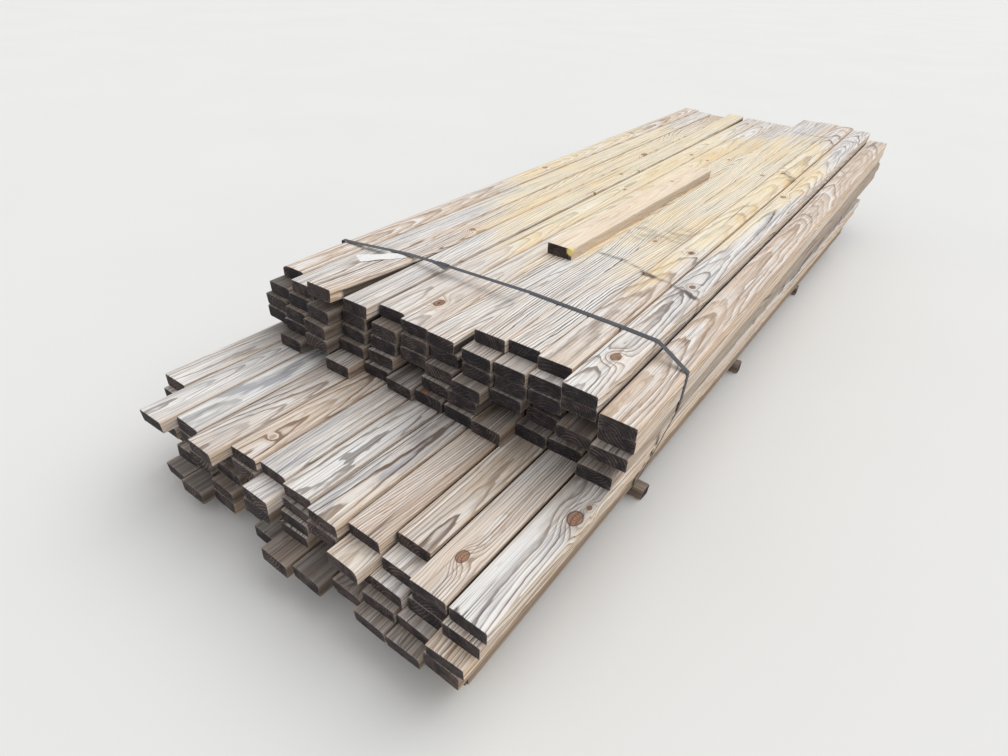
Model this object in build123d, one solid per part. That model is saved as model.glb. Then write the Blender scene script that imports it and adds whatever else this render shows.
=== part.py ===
"""Two bundles of construction lumber stacked on bearers, held by one strap.

Millimetres. X runs across the boards, Y along them with the near ends towards -Y,
Z up from the floor. The origin is the bottom centre of the whole stack.
"""

import os
from math import atan, cos, degrees, hypot, radians, sin, tan

from build123d import *

# Board stock
BOARD_WIDTH = 89.0
BOARD_THICKNESS = 38.0
BOARD_LENGTH = 3048.0
EDGE_EASE = 2.5
COLUMNS = 12

# Bearers under the lower bundle
BEARER_WIDTH = 38.0
BEARER_HEIGHT = 38.0
BEARER_LENGTH = 1180.0
BEARER_LEFT = -28.0
BEARER_FRONTS = [706.0, 1500.0, 2300.0]

# Lower bundle, one entry per layer from the bottom up
LOWER_TURN = 0.965
LOWER_LEFTS = [2.0, 4.0, 0.0, 0.0, 0.0, 0.0]
LOWER_GAPS = [3.0, 4.3, 5.1, 6.0, 7.0, 7.6]
LOWER_NEAR_ENDS = [
    [60, -33, -43, -14, 10, -25, -20, 20, -15, -20, -30, -10],
    [40, 5, 15, -13, 15, 30, -72, -60, -30, -55, -55, -20],
    [20, 35, -5, 15, 30, 5, -11, 25, 10, -28, -26, -54],
    [30, 45, 10, 25, 40, -35, -7, 10, 20, -11, -2, -55],
    [60, 20, -13, 70, 5, -35, -1, -12, -42, 16, 0, -20],
    [74, -47, -11, -39, 10, 19, 7, -8, 17, 61, -7, -9],
]

# Upper bundle, full layers from the bottom up. The lowest two are turned a little with the lower bundle.
UPPER_TURNS = [0.58, 0.34, 0.0, 0.0, 0.0]
UPPER_PIVOT = 420.0
UPPER_LEFTS = [22.0, 32.0, 32.4, 32.4, 32.4]
UPPER_GAPS = [6.3, 6.6, 8.2, 8.2, 8.2]
UPPER_NEAR_ENDS = [
    [440, 364, 411, 361, 412, 394, 404, 401, 395, 452, 457, 425],
    [405, 390, 373, 413, 424, 480, 417, 413, 482, 480, 490, 480],
    [410, 393, 379, 427, 435, 443, 430, 413, 443, 483, 430, 418],
    [421, 409, 395, 437, 441, 448, 455, 443, 450, 455, 485, 440],
    [468, 422, 400, 437, 477, 457, 451, 445, 449, 458, 440, 433],
]
UPPER_NUDGES = [
    [0, 0, 3, 6, 7, 10, 10, 12, 8, 3, 0, 0],
    [-18, -14, 0, 0, 3, 0, 6, 3, 0, 0, 0, 0],
    [-20, -11, -13, -9, -4, 0, 1, 4, 2, 0, 1, -3],
    [-8, -6, -12, -14, 0, 0, 0, 12, 9, 4, 2, 0],
    [0, 0, 0, -4, 0, -4, -10, 9, 6, 0, 0, 0],
]

# Part layer on top of the upper bundle
TOP_FIRST_COLUMN = 8
TOP_NEAR_ENDS = [485, 499, 484, 430]
TOP_NUDGES = [18, 11, 5, 3]

# Two boards of the last full layer bow up, one at its near end and one at its far end
BOWED_COLUMN = 3
BOW_LIFT = 33.0
BOW_REACH = 900.0
SPRUNG_COLUMN = 4
SPRING_LIFT = 15.0
SPRING_REACH = 700.0
BOW_STEPS = 8

# Loose board on top
LOOSE_LENGTH = 1130.0
LOOSE_LEFT = 580.0
LOOSE_NEAR_END = 1044.0
LOOSE_TURN = 1.0

# Strap round both bundles, with its seal and tag
STRAP_WIDTH = 16.0
STRAP_THICKNESS = 1.0
STRAP_CLEARANCE = 0.3
STRAP_Y = 694.0
STRAP_RAKE = 0.08
STRAP_DRIFT = -0.012
SEAL_X = 420.0
SEAL_LENGTH = 45.0
SEAL_WALL = 1.2
SEAL_FIT = 0.3
TAG_LENGTH = 134.0
TAG_WIDTH = 45.0
TAG_THICKNESS = 0.8
TAG_CLEARANCE = 0.4
TAG_X = 242.0
TAG_Y = 662.0
TAG_TURN = 57.0

LOWER_LAYERS = len(LOWER_NEAR_ENDS)
UPPER_LAYERS = len(UPPER_NEAR_ENDS)
LOWER_BASE = BEARER_HEIGHT
UPPER_BASE = LOWER_BASE + LOWER_LAYERS * BOARD_THICKNESS
TOP_BASE = UPPER_BASE + UPPER_LAYERS * BOARD_THICKNESS
LOWER_SHEAR = tan(radians(LOWER_TURN))
TOP_PITCH = BOARD_WIDTH + UPPER_GAPS[-1]


def board_outline():
    """Board cross-section with its four long edges eased, left bottom corner at 0, 0."""
    w, t, e = BOARD_WIDTH, BOARD_THICKNESS, EDGE_EASE
    corners = [(e, 0), (w - e, 0), (w, e), (w, t - e), (w - e, t), (e, t), (0, t - e), (0, e)]
    return corners


def board(left, near_end, base, length=BOARD_LENGTH, turn=0.0):
    """One straight board. Its length runs along +Y, turned clockwise seen from above."""
    points = [Vector(left + x, near_end, base + z) for x, z in board_outline()]
    section = make_face(Polyline(*points, close=True))
    run = Vector(sin(radians(turn)), cos(radians(turn)), 0)
    return extrude(section, amount=length, dir=run)


def bow_height(distance, lift=BOW_LIFT, reach=BOW_REACH):
    """Lift of a bowed board at a distance from its raised end."""
    left_over = max(0.0, 1.0 - distance / reach)
    return lift * left_over ** 2


def bowed_board(left, raised_end, base, lift=BOW_LIFT, reach=BOW_REACH, away=1):
    """A board with one end sprung up off the layer below, running away from that end along Y."""
    steps = [reach * i / BOW_STEPS for i in range(BOW_STEPS + 1)] + [BOARD_LENGTH]
    under = [Vector(left, raised_end + away * d, base + bow_height(d, lift, reach)) for d in steps]
    over = [point + Vector(0, 0, BOARD_THICKNESS) for point in reversed(under)]
    side = make_face(Polyline(*under, *over, close=True))
    return extrude(side, amount=BOARD_WIDTH, dir=Vector(1, 0, 0))


def lower_left(layer, column, y):
    """Left edge of a lower board at a distance y along the stack."""
    return LOWER_LEFTS[layer] + column * (BOARD_WIDTH + LOWER_GAPS[layer]) + y * LOWER_SHEAR


def upper_left(layer, column, y):
    """Left edge of a board in a full upper layer at a distance y along the stack."""
    pitch = BOARD_WIDTH + UPPER_GAPS[layer]
    drift = (y - UPPER_PIVOT) * tan(radians(UPPER_TURNS[layer]))
    return UPPER_LEFTS[layer] + column * pitch + UPPER_NUDGES[layer][column] + drift


def top_left(index):
    """Left edge of a board in the part layer."""
    column = TOP_FIRST_COLUMN - 1 + index
    return UPPER_LEFTS[-1] + column * TOP_PITCH + TOP_NUDGES[index]


def lower_layer(layer):
    """All boards of one layer in the lower bundle."""
    boards = []
    base = LOWER_BASE + layer * BOARD_THICKNESS
    for column, near_end in enumerate(LOWER_NEAR_ENDS[layer]):
        left = lower_left(layer, column, near_end)
        boards.append(board(left, near_end, base, turn=LOWER_TURN))
    return boards


def upper_layer(layer):
    """All boards of one full layer in the upper bundle."""
    boards = []
    base = UPPER_BASE + layer * BOARD_THICKNESS
    for column, near_end in enumerate(UPPER_NEAR_ENDS[layer]):
        left = upper_left(layer, column, near_end)
        if layer == UPPER_LAYERS - 1 and column == BOWED_COLUMN - 1:
            boards.append(bowed_board(left, near_end, base))
        elif layer == UPPER_LAYERS - 1 and column == SPRUNG_COLUMN - 1:
            far_end = near_end + BOARD_LENGTH
            boards.append(bowed_board(left, far_end, base, SPRING_LIFT, SPRING_REACH, -1))
        else:
            boards.append(board(left, near_end, base, turn=UPPER_TURNS[layer]))
    return boards


def top_layer():
    """The few boards of the part layer."""
    return [board(top_left(i), near_end, TOP_BASE) for i, near_end in enumerate(TOP_NEAR_ENDS)]


def loose_board():
    """The shorter board left lying on the last full layer."""
    return board(LOOSE_LEFT, LOOSE_NEAR_END, TOP_BASE, LOOSE_LENGTH, LOOSE_TURN)


def bearer(front):
    """One plain bearer across the floor."""
    block = Box(BEARER_LENGTH, BEARER_WIDTH, BEARER_HEIGHT, align=(Align.MIN, Align.MIN, Align.MIN))
    return chamfer(block.edges().filter_by(Axis.X), EDGE_EASE).moved(Location((BEARER_LEFT, front, 0)))


def stack_corners():
    """Corners of every board's section where the strap goes round."""
    corners = []
    for layer in range(LOWER_LAYERS):
        base = LOWER_BASE + layer * BOARD_THICKNESS
        for column in (0, COLUMNS - 1):
            middle = strap_y(lower_left(layer, column, STRAP_Y), base)
            for y in (middle - STRAP_WIDTH, middle + STRAP_WIDTH):
                corners.append((lower_left(layer, column, y), base))
    for layer in range(UPPER_LAYERS):
        base = UPPER_BASE + layer * BOARD_THICKNESS
        for column in (0, COLUMNS - 1):
            middle = strap_y(upper_left(layer, column, STRAP_Y), base)
            for y in (middle - STRAP_WIDTH, middle + STRAP_WIDTH):
                corners.append((upper_left(layer, column, y), base))
    bowed = BOWED_COLUMN - 1
    lift = bow_height(STRAP_Y - UPPER_NEAR_ENDS[-1][bowed])
    corners.append((upper_left(UPPER_LAYERS - 1, bowed, STRAP_Y), TOP_BASE - BOARD_THICKNESS + lift))
    corners.append((top_left(0), TOP_BASE))
    corners.append((top_left(len(TOP_NEAR_ENDS) - 1), TOP_BASE))
    across = [(x, z) for x, z in corners] + [(x + BOARD_WIDTH, z) for x, z in corners]
    return across + [(x, z + BOARD_THICKNESS) for x, z in across]


def turn_of(a, b, c):
    """Positive when a, b, c turn left."""
    return (b[0] - a[0]) * (c[1] - a[1]) - (b[1] - a[1]) * (c[0] - a[0])


def tight_path(points):
    """Convex path round the points, anticlockwise."""
    ordered = sorted(set(points))
    path = []
    for run in (ordered, ordered[::-1]):
        part = []
        for point in run:
            while len(part) > 1 and turn_of(part[-2], part[-1], point) <= 1e-6:
                part.pop()
            part.append(point)
        path += part[:-1]
    return path


def line_out(a, b, distance):
    """The line a to b moved outwards, as unit direction and one point."""
    length = hypot(b[0] - a[0], b[1] - a[1])
    dx, dz = (b[0] - a[0]) / length, (b[1] - a[1]) / length
    return dx, dz, a[0] + dz * distance, a[1] - dx * distance


def grown(path, distance):
    """The convex path with every side moved outwards."""
    corners = []
    for k, here in enumerate(path):
        ax, az, px, pz = line_out(path[k - 1], here, distance)
        bx, bz, qx, qz = line_out(here, path[(k + 1) % len(path)], distance)
        along = ((qx - px) * bz - (qz - pz) * bx) / (ax * bz - az * bx)
        corners.append((px + ax * along, pz + az * along))
    return corners


def strap_y(x, z):
    """Middle of the strap along the stack, higher up it sits further back."""
    return STRAP_Y + STRAP_RAKE * (z - UPPER_BASE) + STRAP_DRIFT * x


def slab(path, width):
    """The filled path as a plate of the given width along Y."""
    points = [Vector(x, strap_y(x, z) - width / 2, z) for x, z in path]
    return extrude(make_face(Polyline(*points, close=True)), amount=width, dir=Vector(0, 1, 0))


def ring(inner, outer, width):
    """Closed band between two distances outside the tight path."""
    path = tight_path(stack_corners())
    return slab(grown(path, outer), width) - slab(grown(path, inner), width + 2)


def strap():
    """The strap as one closed loop."""
    return ring(STRAP_CLEARANCE, STRAP_CLEARANCE + STRAP_THICKNESS, STRAP_WIDTH)


def span_over(x):
    """Ends of the topmost side of the tight path above x."""
    path = tight_path(stack_corners())
    sides = [(a, b) for a, b in zip(path, path[1:] + path[:1]) if min(a[0], b[0]) < x < max(a[0], b[0])]
    return max(sides, key=lambda side: side[0][1] + side[1][1])


def strap_seal():
    """Crimped seal wrapped round the strap where it bridges two boards."""
    right, left = span_over(SEAL_X)
    slope = (right[1] - left[1]) / (right[0] - left[0])
    z = left[1] + slope * (SEAL_X - left[0])
    middle = STRAP_CLEARANCE + STRAP_THICKNESS / 2
    width = STRAP_WIDTH + 2 * (SEAL_FIT + SEAL_WALL)
    height = STRAP_THICKNESS + 2 * (SEAL_FIT + SEAL_WALL)
    shell = Box(SEAL_LENGTH, width, height)
    slot = Box(SEAL_LENGTH + 2, STRAP_WIDTH + 2 * SEAL_FIT, STRAP_THICKNESS + 2 * SEAL_FIT)
    tilt = Location((SEAL_X, strap_y(SEAL_X, z), z + middle), (0, -Vector(1, 0, slope).get_angle(Vector(1, 0, 0)), 0))
    return (shell - slot).moved(tilt)


def tag():
    """Flat paper tag lying on the bowed board, one end under the strap."""
    start = UPPER_NEAR_ENDS[-1][BOWED_COLUMN - 1]
    lift = bow_height(TAG_Y - start)
    fall = lift - bow_height(TAG_Y + 1 - start)
    sheet = Box(TAG_LENGTH, TAG_WIDTH, TAG_THICKNESS, align=(Align.CENTER, Align.CENTER, Align.MIN))
    flat = sheet.moved(Location((0, 0, 0), (0, 0, TAG_TURN)))
    tilted = flat.moved(Location((0, 0, 0), (-degrees(atan(fall)), 0, 0)))
    return tilted.moved(Location((TAG_X, TAG_Y, TOP_BASE + lift + TAG_CLEARANCE)))


def stack_parts():
    """Every node's solids by name, before the stack is centred."""
    parts = {f"lower_layer_{k + 1}": lower_layer(k) for k in range(LOWER_LAYERS)}
    parts.update({f"upper_layer_{k + 1}": upper_layer(k) for k in range(UPPER_LAYERS)})
    parts[f"upper_layer_{UPPER_LAYERS + 1}"] = top_layer()
    parts.update({f"bearer_{k + 1}": [bearer(front)] for k, front in enumerate(BEARER_FRONTS)})
    parts["loose_board"] = [loose_board()]
    parts["strap"] = [strap()]
    parts["strap_seal"] = [strap_seal()]
    parts["tag"] = [tag()]
    return parts


def main():
    parts = stack_parts()
    solids = [solid for pieces in parts.values() for solid in pieces]
    box = Compound(children=[solid.solid() for solid in solids]).bounding_box()
    centre = Location((-(box.min.X + box.max.X) / 2, -(box.min.Y + box.max.Y) / 2, -box.min.Z))
    os.makedirs("parts", exist_ok=True)
    for name, pieces in parts.items():
        placed = [piece.solid().moved(centre) for piece in pieces]
        shape = placed[0] if len(placed) == 1 else Compound(children=placed)
        export_step(shape, f"parts/{name}.step")
    print("size", box.size, "moved by", centre.position)


main()
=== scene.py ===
# %% [markdown]
# # A stack of weathered lumber
# Two bundles of boards lie one on the other, with a part layer, a loose board, a strap
# and a tag on top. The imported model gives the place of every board. This lesson gives
# each one its worn surface, its grain and its weathering.

import math
from collections import namedtuple
from functools import reduce
from types import SimpleNamespace

import bpy
import numpy as np
from mathutils import Matrix, Vector


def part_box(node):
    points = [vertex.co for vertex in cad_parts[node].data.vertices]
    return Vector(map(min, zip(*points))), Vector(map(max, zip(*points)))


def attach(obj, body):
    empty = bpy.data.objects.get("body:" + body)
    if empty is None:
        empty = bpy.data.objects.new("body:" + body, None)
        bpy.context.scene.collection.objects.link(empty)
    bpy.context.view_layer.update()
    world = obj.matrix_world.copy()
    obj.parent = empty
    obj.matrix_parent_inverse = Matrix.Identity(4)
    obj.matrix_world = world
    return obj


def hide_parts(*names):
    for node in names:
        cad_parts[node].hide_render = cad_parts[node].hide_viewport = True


def added(name, data):
    """A new object in the scene."""
    made = bpy.data.objects.new(name, data)
    bpy.context.scene.collection.objects.link(made)
    return made


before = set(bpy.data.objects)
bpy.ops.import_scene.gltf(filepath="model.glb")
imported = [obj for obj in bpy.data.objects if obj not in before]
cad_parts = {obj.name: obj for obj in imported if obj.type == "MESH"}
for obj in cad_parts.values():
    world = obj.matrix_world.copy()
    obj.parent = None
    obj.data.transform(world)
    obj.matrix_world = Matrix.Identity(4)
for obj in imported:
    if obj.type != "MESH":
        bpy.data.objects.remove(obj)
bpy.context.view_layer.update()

# %% [markdown]
# Places on the stack were measured from the left near corner of the lower bundle's top.
# The first bearer's box ties that corner to the frame, so one shift serves every piece.

# %% Where the measured corner lies in the frame
BEARER_LEFT, BEARER_FRONT = -0.028, 0.706
LOWER_TOP = 0.266
bearer_low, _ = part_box("bearer_1")
CORNER = np.array([bearer_low.x - BEARER_LEFT, bearer_low.y - BEARER_FRONT, LOWER_TOP])
print("measured corner", CORNER.round(4))

# %% [markdown]
# ## Camera
# The camera stands off the near right corner, above the stack, and looks down along it.
# Its turn, dip and lean come from the vanishing lines of the boards. Building it from
# three unit vectors keeps the lean exact, which an aimed camera would lose.

# %% Camera
TURN, DIP, LEAN = math.radians(-34.36), math.radians(35.08), math.radians(-2.71)
EYE_FROM_CORNER = [1.502, -0.508, 0.970]
FOCAL_PIXELS, PICTURE_WIDTH, SENSOR_WIDTH = 612.8, 1008, 36.0
ahead = np.array([math.sin(TURN) * math.cos(DIP), math.cos(TURN) * math.cos(DIP), -math.sin(DIP)])
level = np.array([math.cos(TURN), -math.sin(TURN), 0.0])
below = np.cross(ahead, level)
right = level * math.cos(LEAN) + below * math.sin(LEAN)
down = below * math.cos(LEAN) - level * math.sin(LEAN)
eye = CORNER + EYE_FROM_CORNER

camera = added("camera", bpy.data.cameras.new("camera"))
camera.matrix_world = Matrix([*np.stack([right, -down, -ahead, eye], 1).tolist(), [0, 0, 0, 1]])
camera.data.sensor_width = SENSOR_WIDTH
camera.data.lens = SENSOR_WIDTH * FOCAL_PIXELS / PICTURE_WIDTH
camera.data.clip_start, camera.data.clip_end = 0.05, 400
bpy.context.scene.camera = camera
print("lens", round(camera.data.lens, 3), "mm at", eye.round(3))

# %% [markdown]
# ## Reading the boards
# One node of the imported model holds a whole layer. Its triangles are sorted into
# separate solids by letting every triangle pass on the lowest label among its corners
# until nothing changes, which is quick with whole arrays.


# %% Separate solids of a node
def solids_of(node):
    """The corner points of each separate solid of a node, sorted from left to right."""
    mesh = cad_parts[node].data
    points = np.zeros(len(mesh.vertices) * 3)
    mesh.vertices.foreach_get("co", points)
    points = points.reshape(-1, 3)
    corner = np.zeros(len(mesh.loops), int)
    mesh.loops.foreach_get("vertex_index", corner)
    _, merged = np.unique((points * 1e5).round().astype(int), axis=0, return_inverse=True)
    triangles = merged.ravel()[corner].reshape(-1, 3)
    label = np.arange(merged.max() + 1)
    while True:
        lowest = label[triangles].min(1)
        passed = label.copy()
        np.minimum.at(passed, triangles.ravel(), np.repeat(lowest, 3))
        if (passed == label).all():
            break
        label = passed
    owner = label[merged.ravel()]
    solids = [points[owner == one] for one in np.unique(owner)]
    return sorted(solids, key=lambda p: p[:, 0].mean())


# %% [markdown]
# A board's place is its near and far end, its left edge at both, its section, and the
# height of its underside along its length, which isn't straight on the bowed board.


# %% The place of one board
Place = namedtuple("Place", "near far left width thick skew along under")


def place_of(points):
    """Near end, far end, left edge, sideways run per metre, section and underside of a solid."""
    near, far = points[:, 1].min(), points[:, 1].max()
    first = points[abs(points[:, 1] - near) < 1e-4]
    last = points[abs(points[:, 1] - far) < 1e-4]
    along = np.unique(points[:, 1].round(5))
    under = np.array([points[abs(points[:, 1] - y) < 2e-5][:, 2].min() for y in along])
    left, width, thick = first[:, 0].min(), np.ptp(first[:, 0]), np.ptp(first[:, 2])
    skew = (last[:, 0].min() - left) / (far - near)
    return Place(near, far, left, width, thick, skew, along, under)


layers = {f"{b}_{k}": f"{b}_layer_{k}" for b in ("lower", "upper") for k in range(1, 7)}
places = {key: [place_of(p) for p in solids_of(node)] for key, node in layers.items()}
print("boards in each layer", {key: len(row) for key, row in places.items()})

# %% [markdown]
# ## The surface of a board
# Rough handling rounds a board's long edges and its end edges unevenly, and drying
# leaves its faces a little uneven. The surface is a section carried along the length:
# every point is a function of a place round the section and a place along the board.

# %% Unevenness
def ripple(seed, where, longest, waves=4):
    """Smooth unevenness between about -1 and 1: a sum of sines of random phase, each about
    half as long and two thirds as strong as the one before."""
    phase = np.random.default_rng(seed).uniform(0, 2 * math.pi, waves)
    turn = 2 * math.pi * where / longest
    total = sum(np.sin(turn * 1.9**k + phase[k]) / 1.5**k for k in range(waves))
    return total / sum(1 / 1.5**k for k in range(waves))


# %% Round the section
ARC = np.radians([0, 30, 60, 90])
EDGE_POINTS = (3, 2, 8, 2)


def section(width, thick, round_x, round_z):
    """Points round a board's section at every station, anticlockwise from the bottom left corner.
    A corner's point is its centre plus its two radii times the cosine and sine of the angle,
    and the points between two corners divide the straight evenly."""
    corners = []
    for k, (sx, sz) in enumerate([(0, 0), (1, 0), (1, 1), (0, 1)]):
        angle = ARC + math.pi * (1 + 0.5 * k)
        rx, rz = round_x[:, k, None], round_z[:, k, None]
        centre_x = sx * width + (1 - 2 * sx) * rx
        centre_z = sz * thick + (1 - 2 * sz) * rz
        corners.append(np.stack([centre_x + rx * np.cos(angle), centre_z + rz * np.sin(angle)], -1))
    loop = []
    for k, count in enumerate(EDGE_POINTS):
        share = (np.arange(1, count + 1) / (count + 1))[:, None]
        start, end = corners[k][:, -1:], corners[(k + 1) % 4][:, :1]
        loop += [corners[k], start + (end - start) * share]
    return np.concatenate(loop, axis=1)


# %% Along the board
END_STATIONS = [0.0, 0.0008, 0.003, 0.010, 0.025, 0.05, 0.09, 0.14]
END_WEAR = [0.0013, 0.0004, 0.0, 0.0]
EDGE_RADIUS = (0.0028, 0.0046)
FACE_WEAR, DEEPEST_CUP = 0.00012, 0.0007
END_SLANT, SLANT_REACH = 0.0016, 0.02
LONG_WAVE, SHORT_WAVE = 0.9, 0.5


def stations(length, spacing):
    """Distances from the near end: close together at both ends, and evenly spaced between."""
    ends = np.array(END_STATIONS)
    middle = np.linspace(ends[-1], length - ends[-1], max(2, int(length / spacing)))
    return np.concatenate([ends[:-1], middle, length - ends[:-1][::-1]])


def board_surface(place, seed, spacing, cut):
    """Points of a board, station by station, and the distance of each station from the near end.
    A point is the section's point, drawn in towards the middle by the wear, moved sideways by
    the board's skew and up by its underside. A cut rounds one corner more, near the near end."""
    length = place.far - place.near
    run = stations(length, spacing)
    rng = np.random.default_rng(seed)
    radius = rng.uniform(*EDGE_RADIUS, 4)
    uneven = np.stack([ripple(seed + 10 * k, run, LONG_WAVE) for k in range(4)], 1)
    round_x = radius * (1 + 0.25 * uneven)
    round_z = radius * (1 - 0.2 * uneven)
    for corner, wide, deep, reach in cut:
        fade = np.clip(1 - run / reach, 0, 1) ** 0.5 * (1 + 0.15 * uneven[:, corner])
        round_x[:, corner] += wide * fade
        round_z[:, corner] += deep * fade
    loop = section(place.width, place.thick, round_x, round_z)
    middle = np.array([place.width, place.thick]) / 2
    from_end = np.minimum(run, length - run)
    worn = np.interp(from_end, END_STATIONS[: len(END_WEAR)], END_WEAR)
    inward = worn + FACE_WEAR * (1 + ripple(seed + 50, run, SHORT_WAVE))
    loop = middle + (loop - middle) * (1 - inward[:, None, None] / middle)
    cup = rng.uniform(0.0, DEEPEST_CUP) * ((loop[..., 0] - middle[0]) / middle[0]) ** 2
    loop[..., 1] -= cup * (loop[..., 1] > middle[1])
    lean = rng.uniform(-END_SLANT, END_SLANT, 2)
    slant = lean[0] * (loop[..., 0] / middle[0] - 1) + lean[1] * (loop[..., 1] / middle[1] - 1)
    slant = (slant + abs(lean).sum()) * np.exp(-from_end / SLANT_REACH)[:, None]
    sign = np.where(run < length / 2, 1.0, -1.0)[:, None]
    y = place.near + run[:, None] + sign * slant
    x = place.left + loop[..., 0] + place.skew * run[:, None]
    z = np.interp(y, place.along, place.under) + loop[..., 1]
    return np.stack([x, y, z], -1), loop, run


# %% [markdown]
# The two ends are closed with rings of points that shrink towards the middle of the
# section, so the ends have enough faces for a little unevenness of their own.

# %% Faces of a board
CAP_RINGS = (0.8, 0.5, 0.2)


def band_faces(rows, around, first=0):
    """Quads between each station and the next, round the closed section, looking outwards."""
    a = first + np.arange(rows - 1)[:, None] * around + np.arange(around)
    b = first + np.arange(rows - 1)[:, None] * around + (np.arange(around) + 1) % around
    return np.stack([a, a + around, b + around, b], -1).reshape(-1, 4)


def capped(body, around):
    """Points and faces of a body with both ends closed: each cap ring is the end section scaled
    about its middle."""
    rows = len(body)
    groups = [body.reshape(-1, 3)]
    faces = [band_faces(rows, around)]
    total = rows * around
    tips = []
    for edge, order in ((0, 1), (rows - 1, -1)):
        rim = np.arange(edge * around, (edge + 1) * around)
        middle = body[edge].mean(0)
        for scale in CAP_RINGS:
            groups.append(middle + (body[edge] - middle) * scale)
            ring = np.arange(total, total + around)
            quad = np.stack([rim, np.roll(rim, -1), np.roll(ring, -1), ring], -1)
            faces.append(quad[:, ::order])
            rim, total = ring, total + around
        groups.append(middle[None])
        fan = np.stack([rim, np.roll(rim, -1), np.full(around, total)], -1)
        tips.append(fan[:, ::order])
        total += 1
    return np.concatenate(groups), np.concatenate(faces), np.concatenate(tips)


# %% [markdown]
# ## Wood coordinates
# The rings of a board are rings of the tree it was cut from. Each board keeps the place
# of the tree's middle, its pith, and every point carries its place relative to it. The
# material then draws the same rings on faces and ends, which meet at the edges.

# %% Knots and looks that each board carries
NO_KNOT = (9.0, 9.0, 0.0)
KNOT_SLOTS = ("knot_a", "knot_b", "knot_c")
KNOT_STRETCH = 1.35


def knot_field(x, y, knots):
    """For each knot, the place of every point relative to it in knot radii, and the knot's
    strength. Points and knots are x from the board's left edge and y from its near end, in
    metres. Along the board a knot's radius is KNOT_STRETCH times as long."""
    fields = []
    for knot_x, knot_y, radius, strength in knots:
        across, along = (x - knot_x) / radius, (y - knot_y) / (KNOT_STRETCH * radius)
        fields.append(np.stack([across, along, np.full(len(x), strength)], -1))
    blank = np.tile(NO_KNOT, (len(x), 1))
    return (fields + [blank] * len(KNOT_SLOTS))[: len(KNOT_SLOTS)]


# %% [markdown]
# The look of a board is six amounts: how warm it is against silver grey, how dark, how
# strongly its dark rings show, how golden, how blue, and how white the early wood is.
# Words name the common ones. The boards that show get theirs by name, and the rest draw
# one from their seed.

# %% Looks by name
LOOKS = {
    "silver": (0.2, 0.0, 0.85, 0.0, 0.35, 0.5),
    "veined": (0.3, 0.0, 1.0, 0.0, 0.4, 0.8),
    "lined": (0.3, 0.0, 1.4, 0.1, 0.1, 0.9),
    "pale": (0.38, 0.0, 0.7, 0.05, 0.15, 0.4),
    "blue grey": (0.0, 0.10, 0.4, 0.0, 0.9, 0.2),
    "grey": (0.26, 0.05, 0.8, 0.0, 0.5, 0.3),
    "streaked": (0.55, 0.04, 1.0, 0.08, 0.35, 0.4),
    "striped": (1.05, 0.02, 1.0, 0.1, 0.2, 0.8),
    "tan": (0.8, 0.0, 1.2, 0.3, 0.2, 0.5),
    "pink tan": (0.66, 0.0, 0.85, 0.12, 0.0, 0.4),
    "zebra": (0.95, 0.05, 0.7, 0.1, 0.0, 0.95),
    "wavy": (0.6, 0.02, 1.2, 0.3, 0.5, 0.8),
    "marbled": (0.5, 0.03, 1.2, 0.3, 0.8, 0.5),
    "cream": (0.45, 0.0, 0.9, 0.3, 0.0, 0.6),
    "brown": (0.9, 0.7, 0.7, 0.0, 0.0, 0.1),
    "rust": (0.95, 0.5, 1.0, 1.3, 0.0, 0.3),
    "dirty": (0.4, 0.82, 0.6, 0.0, 0.3, 0.1),
    "worn": (0.6, 0.3, 1.0, 0.0, 0.3, 0.3),
    "dull": (0.5, 0.6, 1.0, 0.0, 0.3, 0.2),
    "dusk": (0.6, 0.7, 0.9, 0.0, 0.2, 0.1),
}
# The dark looks (dull, dirty, brown, worn, dusk) on boards inside the stack, and on the recessed
# boards named below, are partly dirt and partly painted shade of the stack
HIDDEN_SHADED_LOOKS = ("dull", "dirty", "dull", "brown", "worn", "dusk")

# %% Looks of the boards that show, from left to right
def by_board(tables):
    """One table for all boards, each under its layer and its column."""
    return {(key, column): value for key, row in tables.items() for column, value in row.items()}


SHOWN_LOOKS = {
    "lower_6": (
        "pale", "silver", "blue grey", "streaked", "tan", "grey",
        "pale", "marbled", "striped", "wavy", "pink tan", "veined",
    ),
    "upper_5": (
        "zebra", "silver", "tan", "silver", "pale", "pale",
        "lined", "grey", "pale", "grey", "silver", "zebra",
    ),
    "upper_6": ("lined", "lined", "pink tan", "veined"),
}
ODD_LOOKS = by_board({
    "lower_5": {6: "silver", 9: "cream", 10: "pale", 12: "tan"},
    "lower_4": {10: "silver", 12: "tan"},
    "lower_3": {11: "worn", 12: "rust"},
    "lower_2": {7: "brown", 8: "dirty", 12: "rust"},
    "lower_1": {12: "rust"},
    "upper_4": {12: "pale"},
    "upper_3": {8: "dull", 12: "worn"},
    "upper_2": {12: "worn"},
    "upper_1": {9: "rust", 12: "worn"},
    "upper_5": {8: "worn", 9: "worn"},
})

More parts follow.
